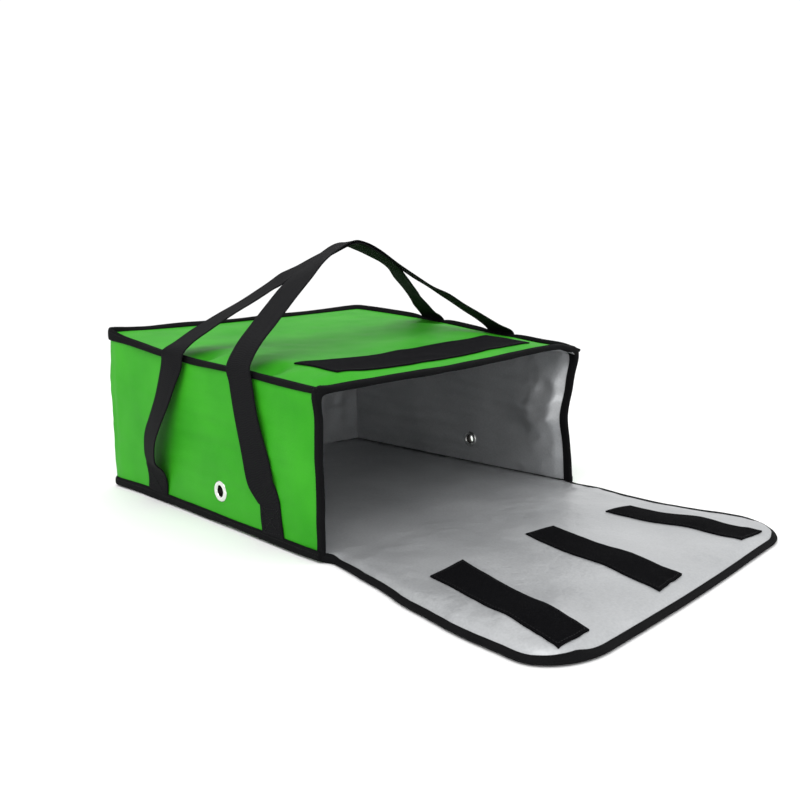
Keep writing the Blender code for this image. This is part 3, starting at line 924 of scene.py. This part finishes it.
def mouthLoop(inset, lap, lift):
    def back(k):
        return lap * (1 + tape["uneven"] * wobble(k * 0.06, 3, 1, 1))

    left, top, right = [], [], []
    for k, height in enumerate(mouthHeights):
        left.append(wallPoint(back(k) / wallLength, height, inset))
    for k, x in enumerate(mouthXs, len(mouthHeights)):
        top.append(Vector((x, mouthY + back(k), roofSurface(x, mouthY + back(k), inset))))
    for k, height in enumerate(reversed(mouthHeights), len(mouthHeights) + len(mouthXs)):
        right.append(wallPoint(1 - back(k) / wallLength, height, inset))
    corners = []
    for beside, over in ((left[-1], top[0]), (right[0], top[-1])):
        corner = Vector((beside.x, over.y, over.z))
        corners.append([(beside + corner) / 2, corner, (corner + over) / 2])
    line = smoothed([*left, *corners[0], *top, *reversed(corners[1]), *right], 2)
    found = []
    for k, (point, tangent) in enumerate(zip(line, tangents(line))):
        out = tangent.cross(Vector((0, 1, 0))).normalized()
        corner = hump(abs(point.x) - sideX, 0.009) * hump(point.z - roofLine(point.x, mouthY), 0.012)
        bulk = mouth["bulk"] * (1 + wobble(k * 0.09, 5, 2, 1)) + mouth["cornerBulk"] * corner
        found.append(point + out * math.copysign(abs(lift) + bulk, lift))
    return found


lapShares = (1, 0.62, 0.3, 0.1)
outerLift = coverCloth["thick"] + tape["gap"]
mouthOuter = [mouthLoop(0, tape["outerLap"] * share, outerLift) for share in lapShares]
mouthInner = [mouthLoop(wallThick, tape["innerLap"] * share, -tape["gap"]) for share in lapShares[::-1]]
mouthFold = []
for share, out in ((0.15, 0.0009), (0.5, 0.0014), (0.85, 0.0009)):
    line = [mix(a, b, share) for a, b in zip(mouthOuter[-1], mouthInner[0])]
    mouthFold.append([Vector((point.x, mouthY - out, point.z)) for point in line])
mouthSections = list(zip(*mouthOuter, *mouthFold, *mouthInner))
mouthTape = makePiece("mouth_binding", sweep(mouthSections), tapeFinish, "binding_tape")
thicken(mouthTape, tape["thick"])
addStitches(mouthTape, stitchLine(mouthSections, 0, 1, -tape["thick"] - thread["lift"]))
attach(mouthTape, "bag")
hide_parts("tape_mouth_top", "tape_mouth_left", "tape_mouth_right")

# Round the roof's three sewn edges, drooping, and round the floor's
roofSeam = {
    "wide": 0.0100,
    "thick": 0.0046,
    "swing": 24,
    "out": 0.0026,
    "taper": 0.25,
    "cornerSwell": 0.85,
}
floorSeam = {
    "wide": 0.0126,
    "thick": 0.0050,
    "out": 0.0022,
    "high": 0.0074,
    "taper": 0.22,
    "cornerSwell": 0,
}
seamSpots = 330

# Degrees that the roof's binding is pushed off level and that it is turned, along its
# length: it droops on the left, hangs flat at the first corner and stands up on the right
seamPush = (
    (0, 52), (0.29, 52), (0.335, 30), (0.37, -30), (0.62, -40), (0.67, -50), (0.72, -66),
    (0.93, -66), (1, -10),
)
seamTurn = (
    (0, 52), (0.28, 52), (0.325, 82), (0.345, 98), (0.38, 150), (0.62, 140), (0.67, 130), (0.72, 114),
    (0.93, 114), (1, 170),
)
strapEdges = (-0.0930, 0.0455)  # where the handles press the roof's binding flat


def roofSeamLine():
    points, inwards = [], []
    for k in range(seamSpots):
        u = k / (seamSpots - 1)
        spot, out = wallPlan(u)
        z = roofLine(spot.x, spot.y)
        spot += out * wallOut(spot, out, 1)
        pinch = sum(hump(spot.y - y, 0.028) for y in strapEdges) if onSide(out) else 0
        swing = roofSeam["swing"] * wobble(spot.x, spot.y, 4, 13)
        push, turn = (mix(through(knots, u) + swing, 84, min(pinch, 1)) for knots in (seamPush, seamTurn))
        push, turn = math.radians(push), math.radians(turn)
        shift = out * math.cos(push) - up * math.sin(push)
        points.append(spot + up * (z + 0.0006) + shift * roofSeam["out"] * (1 - 0.45 * pinch))
        inwards.append(up * math.sin(turn) - out * math.cos(turn))
    return points, inwards


def floorSeamLine():
    points = []
    for k in range(seamSpots):
        spot, out = wallPlan(k / (seamSpots - 1))
        points.append(spot + out * (floorSeam["out"] + wallOut(spot, out, 0)) + up * floorSeam["high"])
    return points, [up.copy() for _ in points]


def makeSeam(name, line, shape, nodes):
    points, inwards = line
    sections = []
    for k, spot in enumerate(framesAlong(points, inwards)):
        swell = 1 + tape["uneven"] * wobble(k * 0.05, 2, 3, 1)
        corner = hump((spot[0].xy - Vector((-sideX, backY))).length, 0.03)
        forward = (backY - spot[0].y) / (backY - mouthY)
        width = shape["wide"] * (1 - shape["taper"] * forward) * (1 + shape["cornerSwell"] * corner)
        width *= 1 + tape["unevenWidth"] * wobble(k * 0.04, 7, 1, 1)
        sections.append(tubeSection(spot, width, shape["thick"] * swell))
    obj = makePiece(name, sweep(sections, True), tapeFinish, "binding_tape")
    addStitches(obj, stitchLine(sections, 11, 12, thread["highLift"]))  # along the middle of the outer face
    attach(obj, "bag")
    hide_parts(*nodes)
    return obj


makeSeam(
    "roof_binding", roofSeamLine(), roofSeam, ("seam_roof_left", "seam_roof_right", "seam_roof_rear")
)
floorTape = makeSeam(
    "floor_binding", floorSeamLine(), floorSeam, ("seam_floor_left", "seam_floor_right", "seam_floor_rear")
)


# Round the flap
def flapOutline():
    sides = []
    for sign, inner in zip((-1, 1), endSpan):
        long = flapSide(sign)["corner"][1]
        end = endAt(inner)
        ys = spread(mouthY + 0.002, end + long, 80)
        ys += [end + long * (1 - math.sin(k / 24 * math.pi / 2)) for k in range(1, 25)]
        sides.append([Vector((panelEdge(sign, y), y, 0)) for y in ys])
    end = [Vector((x, endAt(x), 0)) for x in spread(*endSpan, 60)[1:-1]]
    return evenly([*sides[0], *end, *reversed(sides[1])], tape["step"])


def flapSection(point, tangent):
    inward = up.cross(tangent).normalized()
    lap = mix(tape["flapLap"], tape["rightLap"], ease((point.x - 0.18) / 0.03))
    section = []
    laps = (1, 0.7, 0.4, 0.12)
    for share in laps:
        spot = point + inward * lap * share
        section.append(Vector((spot.x, spot.y, panelTop(spot.x, spot.y) + tape["gap"])))
    top = section[-1].z
    low = panelBottom(point.x, point.y) - tape["gap"]
    for share, out in ((0.8, 0.0010), (0.5, 0.0016), (0.2, 0.0010)):
        spot = point - inward * out
        section.append(Vector((spot.x, spot.y, mix(low, top, share))))
    for share in reversed(laps):
        spot = point + inward * lap * share
        section.append(Vector((spot.x, spot.y, panelBottom(spot.x, spot.y) - tape["gap"])))
    return section


flapLine = flapOutline()
flapSections = [flapSection(*spot) for spot in zip(flapLine, tangents(flapLine))]
leftCut = next(k for k, spot in enumerate(flapLine) if spot.y < splitY)
rightCut = next(k for k in range(len(flapLine) - 1, 0, -1) if flapLine[k].y < splitY)


def makeFlapTape(name, sections, node):
    obj = makePiece(name, sweep(sections), tapeFinish, "binding_tape")
    thicken(obj, tape["thick"])
    addStitches(obj, stitchLine(sections, 0, 1, -tape["thick"] - thread["lift"]))
    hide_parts(node)
    return obj


leftTape = makeFlapTape("flap_binding_left", flapSections[: leftCut + 1], "tape_flap_left")
endTape = makeFlapTape("flap_binding_end", flapSections[leftCut : rightCut + 1], "tape_flap_end")
rightTape = makeFlapTape("flap_binding_right", flapSections[rightCut:], "tape_flap_right")
print("bindings made")


# Touch fasteners. Corners of each hook strip on the open flap: near left, near right,
# far right, far left
hookStrips = {
    "left": ((-0.1978, -0.3514), (-0.1430, -0.3444), (-0.1927, -0.5193), (-0.2350, -0.5190)),
    "middle": ((-0.0313, -0.3387), (0.0160, -0.3423), (-0.0241, -0.5146), (-0.0750, -0.5182)),
    "right": ((0.1080, -0.3542), (0.1550, -0.3609), (0.1680, -0.5152), (0.1186, -0.5127)),
}
fastener = {"thick": 0.0015, "gap": 0.0006, "roofGap": 0.0004, "hem": 0.0028, "hook": (0.05, 0.175)}


def stripSpot(corners, u, v):
    nearLeft, nearRight, farRight, farLeft = (Vector(corner) for corner in corners)
    return mix(mix(farLeft, nearLeft, v), mix(farRight, nearRight, v), u)


# A strip with a rectangle of stitches inside its edge. spotAt gives a place on it in plan,
# and height the level of its top face there
def makeStrip(name, spotAt, height, steps, size, finish, slot):
    def place(u, v, lift=0.0):
        spot = spotAt(u, v)
        return Vector((spot.x, spot.y, height(spot.x, spot.y) + lift))

    strip = makePiece(name, bentGrid(steps, size, place), finish, slot)
    thicken(strip, fastener["thick"])
    a, b = fastener["hem"] / size[0], fastener["hem"] / size[1]
    corners = ((a, b), (1 - a, b), (1 - a, 1 - b), (a, 1 - b), (a, b))
    lines = []
    for (u0, v0), (u1, v1) in zip(corners, corners[1:]):
        points = [place(mix(u0, u1, k / 24), mix(v0, v1, k / 24), thread["lift"]) for k in range(25)]
        lines.append((points, [up] * len(points)))
    addStitches(strip, *lines)
    return strip


def hookHeight(x, y):
    return panelTop(x, y) + fastener["gap"] + fastener["thick"]


def loopHeight(x, y):
    return roofSurface(x, y, 0) + fastener["roofGap"] + fastener["thick"]


def loopSpot(u, v):
    return Vector((mix(loopLow.x, loopHigh.x, u), mix(loopLow.y, loopHigh.y, v)))


hooks = []
for side, corners in hookStrips.items():
    strip = makeStrip(
        f"hook_strip_{side}", lambda u, v, at=corners: stripSpot(at, u, v), hookHeight,
        (14, 48), fastener["hook"], hookFinish, "hook_tape"
    )
    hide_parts(f"hook_{side}_inner", f"hook_{side}_outer")
    hooks.append(strip)

loopSize = (loopHigh.x - loopLow.x, loopHigh.y - loopLow.y)
loopStrip = makeStrip("roof_loop_strip", loopSpot, loopHeight, (90, 18), loopSize, loopFinish, "loop_tape")
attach(loopStrip, "bag")
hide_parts("loop_strip")
print("fasteners made")


# Webbing handles. Each is one strap from foot to foot over the case. A leg's knots are
# (height, y, lift off the wall, twist in degrees, share of the full width) from the foot
# up, and an arch's are (x, y, height, twist) from left to right
strap = {"wide": 0.048, "thick": 0.0017, "step": 0.0034, "boxHigh": 0.034, "hem": 0.005}
handles = {
    "front": {
        "left": (
            (0.008, -0.1488, 0.0014, 0, 0.82), (0.028, -0.1468, 0.0014, 0, 0.81),
            (0.0515, -0.1440, 0.0016, 0, 0.81), (0.0580, -0.1385, 0.0045, 1, 0.98),
            (0.0680, -0.1325, 0.0074, 2, 1), (0.0970, -0.1224, 0.0074, 1, 1),
            (0.1356, -0.1103, 0.0086, -3, 1), (0.1774, -0.0985, 0.0074, -3, 1),
        ),
        "right": (
            (0.008, -0.1520, 0.0014, 0, 1), (0.040, -0.1490, 0.0014, 0, 1), (0.050, -0.1470, 0.0050, 0, 1),
            (0.065, -0.1420, 0.0080, -3, 1), (0.100, -0.1300, 0.0090, 0, 1), (0.150, -0.1120, 0.0080, 2, 1),
            (0.193, -0.0960, 0.0070, 2, 1),
        ),
        "arch": (
            (-0.2339, -0.0940, 0.1938, -2), (-0.2180, -0.0895, 0.2145, -3), (-0.1870, -0.0780, 0.2382, -2),
            (-0.1540, -0.0645, 0.2615, -2), (-0.1196, -0.0510, 0.2848, -2), (-0.0848, -0.0390, 0.3062, -9),
            (-0.0511, -0.0300, 0.3236, -9), (-0.0193, -0.0250, 0.3372, -5), (0.0000, -0.0247, 0.3384, 2),
            (0.0180, -0.0258, 0.3335, 5), (0.0349, -0.0290, 0.3262, 9), (0.0567, -0.0380, 0.3135, 17),
            (0.0787, -0.0475, 0.2998, 20), (0.1023, -0.0560, 0.2852, 19), (0.1273, -0.0640, 0.2730, 15),
            (0.1525, -0.0725, 0.2578, 15), (0.1786, -0.0810, 0.2428, 12), (0.2068, -0.0885, 0.2275, 10),
            (0.2330, -0.0930, 0.2120, 2),
        ),
        "parent": "handle_front",
    },
    "rear": {
        "left": (
            (0.008, 0.1105, 0.0014, 0, 1), (0.028, 0.1043, 0.0050, 0, 1), (0.0474, 0.0990, 0.0108, -3, 1),
            (0.0557, 0.0995, 0.0162, -11, 1), (0.0674, 0.0980, 0.0190, -14, 1),
            (0.0882, 0.0905, 0.0213, -14, 1), (0.1079, 0.0812, 0.0200, -12, 0.95),
            (0.1402, 0.0668, 0.0150, -7, 0.92), (0.1700, 0.0558, 0.0112, -3, 0.96),
            (0.1872, 0.0492, 0.0095, 1, 1),
        ),
        "right": (
            (0.008, 0.1080, 0.0014, 0, 1), (0.040, 0.1020, 0.0014, 0, 1), (0.052, 0.0990, 0.0080, -2, 1),
            (0.075, 0.0920, 0.0140, -8, 1), (0.120, 0.0780, 0.0130, -8, 1), (0.170, 0.0600, 0.0090, -2, 1),
            (0.212, 0.0500, 0.0070, 0, 1),
        ),
        "arch": (
            (-0.2361, 0.0460, 0.2009, 2), (-0.2197, 0.0465, 0.2123, -3), (-0.1978, 0.0450, 0.2256, -3),
            (-0.1656, 0.0400, 0.2442, -5), (-0.1356, 0.0300, 0.2619, -7), (-0.1075, 0.0160, 0.2820, -8),
            (-0.0920, 0.0020, 0.2952, -7), (-0.0750, -0.0100, 0.3060, -6), (-0.0436, -0.0220, 0.3240, -6),
            (-0.0185, -0.0250, 0.3343, -5), (-0.0010, -0.0255, 0.3353, 2), (0.0150, -0.0265, 0.3300, 5),
            (0.0350, -0.0270, 0.3232, 7), (0.0560, -0.0300, 0.3125, 13), (0.0760, -0.0280, 0.3000, 19),
            (0.0950, -0.0200, 0.2900, 22), (0.1246, -0.0020, 0.2780, 22), (0.1541, 0.0100, 0.2640, 20),
            (0.1897, 0.0270, 0.2478, 16), (0.2200, 0.0430, 0.2370, 8), (0.2338, 0.0480, 0.2270, 2),
        ),
        "parent": "handle_rear",
    },
}


def wallAt(sign, y, z):  # the cover's outer face at a place on a side wall
    along = (y - mouthY) / wallLength
    height = (z - case["wallFoot"]) / (roofLine(sign * sideX, y) - case["wallFoot"])
    return wallPoint(along if sign < 0 else 1 - along, clamp(height), 0)


def legKnots(sign, leg):  # place with twist, and width, of each knot
    found = []
    for z, y, lift, twist, width in leg:
        cloth = abs(wallAt(sign, y, z).x) + coverCloth["thick"] + strap["thick"] * 0.8
        found.append((Vector((sign * max(sideX + lift, cloth), y, z, twist)), width))
    return found


def strapFrames(shape):  # point, way along, way across and width every step of a strap
    knots = legKnots(-1, shape["left"])
    knots += [(Vector(spot), 1) for spot in shape["arch"]]
    knots += reversed(legKnots(1, shape["right"]))
    places, along = [(0, knots[0][0])], 0
    widths = [(0, knots[0][1])]
    for (before, _), (spot, width) in zip(knots, knots[1:]):
        along += (spot.xyz - before.xyz).length
        places.append((along, spot))
        widths.append((along, width))
    count = round(along / strap["step"])
    spots = [through(places, k / count * along) for k in range(count + 1)]
    points = smoothed([spot.xyz for spot in spots], 2)
    frames = []
    for k, (point, tangent) in enumerate(zip(points, tangents(points))):
        level = (Vector((0, 1, 0)) - tangent * tangent.y).normalized()
        turn = math.radians(spots[k].w)
        width = level * math.cos(turn) + tangent.cross(level) * math.sin(turn)
        share = min(through(widths, k / count * along), 1)
        frames.append((point, tangent, width, share * strap["wide"]))
    return frames


def webbingRow():  # the cross-section as shares of half the width and half the thickness
    upper = [(-1, 0), (-0.985, 0.8), (-0.94, 1.15), (-0.86, 1), (-0.5, 1.03), (0, 1)]
    upper += [(-a, b) for a, b in reversed(upper[:-1])]
    return upper + [(a, -b) for a, b in reversed(upper[:-1])]


# A square of stitches with a cross in it, at each sewn foot: lines as shares of the
# square's width and height
crossStitch = ((0, 0, 1, 0), (1, 0, 1, 1), (1, 1, 0, 1), (0, 1, 0, 0), (0, 0, 1, 1), (1, 0, 0, 1))


def strapBoxes(frames):
    lines = []
    for part in (frames, frames[::-1]):
        top = part[0][0].z + strap["boxHigh"]
        foot = part[: next(k for k, spot in enumerate(part) if spot[0].z > top)]
        for a0, b0, a1, b1 in crossStitch:
            points, normals = [], []
            for k in range(13):
                side, climb = mix(a0, a1, k / 12) * 2 - 1, mix(b0, b1, k / 12)
                point, tangent, width, wide = foot[round(mix(2, len(foot) - 1, climb))]
                face = tangent.cross(width).normalized()
                half = wide / 2 - strap["hem"]
                high = strap["thick"] / 2 + thread["highLift"]
                points.append(point + width * (side * half) + face * high)
                normals.append(face)
            lines.append((points, normals))
    return lines


straps = {}
for side, shape in handles.items():
    frames = strapFrames(shape)
    sections = []
    for point, tangent, width, wide in frames:
        face = tangent.cross(width).normalized() * strap["thick"] / 2
        sections.append([point + width * (a * wide / 2) + face * b for a, b in webbingRow()])
    obj = makePiece(f"handle_strap_{side}", sweep(sections, True), webbingFinish, "webbing")
    addStitches(obj, *strapBoxes(frames))
    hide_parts(f"handle_{side}_left", f"handle_{side}_right", f"handle_{side}_arch")
    straps[side] = obj
print("handles made")


# Vents, one through each side wall
def spunRing(name, profile, centre, sign):  # profile points are (radius, distance out)
    bm = bmesh.new()
    verts = [bm.verts.new((sign * out, 0, radius)) for radius, out in profile]
    edges = [bm.edges.new(pair) for pair in zip(verts, [*verts[1:], verts[0]])]
    bmesh.ops.spin(
        bm, geom=verts + edges, axis=(1, 0, 0), cent=(0, 0, 0), angle=2 * math.pi, steps=40, use_merge=True
    )
    bmesh.ops.remove_doubles(bm, verts=bm.verts, dist=0.00001)
    bmesh.ops.recalc_face_normals(bm, faces=bm.faces)
    bmesh.ops.translate(bm, verts=bm.verts, vec=centre)
    bm.loops.layers.uv.new("UVMap")
    obj = makePiece(name, bm, nickelFinish, "nickel")
    obj.data.materials.append(shadedBarrelFinish.material)
    for face in obj.data.polygons:
        spot = face.center - centre
        if math.hypot(spot.y, spot.z) < ventHole["bore"] + 0.0002:  # the inside of the barrel, darkened as painted shade where it lies in shadow
            face.material_index = 1
    return obj


for sign, side in ((-1, "left"), (1, "right")):
    centre = wallAt(sign, vent.y, vent.z)
    bore, flange, rim = ventHole["bore"], ventHole["flange"], ventHole["washer"]
    deep = wallThick + 0.002
    eyelet = spunRing(f"vent_ring_{side}", (
        (bore, -deep), (bore, 0.0006), (bore + 0.0009, 0.0021), (bore + 0.0026, 0.0027),
        (flange - 0.0018, 0.0022), (flange - 0.0002, 0.0010), (flange, 0.0001),
        (flange - 0.0005, -0.0002), (bore + 0.0012, -0.0004), (bore + 0.0007, -deep),
    ), centre, sign)
    washer = spunRing(f"vent_backing_{side}", (
        (bore + 0.0008, -deep + 0.0012), (rim - 0.0003, -deep + 0.0012), (rim, -deep + 0.0004),
        (rim - 0.0011, -deep - 0.0003), (bore + 0.0022, -deep - 0.0009), (bore + 0.0008, -deep - 0.0006),
    ), centre, sign)
    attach(eyelet, "bag")
    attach(washer, "bag")
    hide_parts(f"vent_eyelet_{side}")
    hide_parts(f"vent_washer_{side}")
print("vents made")


# Each loose piece's place is baked into its mesh
for piece in (floorLining, floorCover, leftTape, rightTape):
    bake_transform(piece)
for piece in (endLining, endCover, endTape, *hooks):
    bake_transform(piece)
for side, obj in straps.items():
    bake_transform(obj)


# Studio: pale floor, soft light and the camera
studio = {
    "floor": (0.97, 0.97, 0.97, 1),
    "sky": 1.06,
    "lens": 35.35,
    "cameraPlace": (-0.7128, -0.8325, 0.2819),
    "cameraTurn": (81.68, 0, -44.66),
}
lamps = {
    "key": {"place": (-1.2, -0.8, 2.2), "aim": (0, 0, 0.1), "size": 1.6, "watts": 26},
    "fill": {"place": (1.6, -1.8, 1.4), "aim": (0, -0.1, 0.1), "size": 2.0, "watts": 5},
}


def makeFloor():
    bm = bmesh.new()
    bmesh.ops.create_grid(bm, x_segments=1, y_segments=1, size=80)
    finish = Finish("pale floor", Base_Color=studio["floor"], Roughness=0.6, Specular_IOR_Level=0.2)
    mesh = bpy.data.meshes.new("studio_floor")
    bm.to_mesh(mesh)
    bm.free()
    mesh.materials.append(finish.material)
    addToScene("studio_floor", mesh)


def makeLamp(name, lamp):
    light = bpy.data.lights.new(name, "AREA")
    light.shape = "SQUARE"
    light.size = lamp["size"]
    light.energy = lamp["watts"]
    obj = addToScene(name, light)
    obj.location = lamp["place"]
    aim = Vector(lamp["aim"]) - Vector(lamp["place"])
    obj.rotation_euler = aim.to_track_quat("-Z", "Y").to_euler()


def makeSky():
    world = bpy.data.worlds.new("studio")
    world.use_nodes = True
    background = world.node_tree.nodes["Background"]
    background.inputs["Color"].default_value = (1, 1, 1, 1)
    background.inputs["Strength"].default_value = studio["sky"]
    bpy.context.scene.world = world
    bpy.context.scene.view_settings.view_transform = "Standard"


def makeCamera():
    lens = bpy.data.cameras.new("camera")
    lens.lens = studio["lens"]
    lens.sensor_width = 36
    lens.clip_start = 0.01
    camera = addToScene("camera", lens)
    camera.location = studio["cameraPlace"]
    camera.rotation_euler = [math.radians(degrees) for degrees in studio["cameraTurn"]]
    bpy.context.scene.camera = camera


makeFloor()
for name, lamp in lamps.items():
    makeLamp(name, lamp)
makeSky()
makeCamera()
print("studio made")
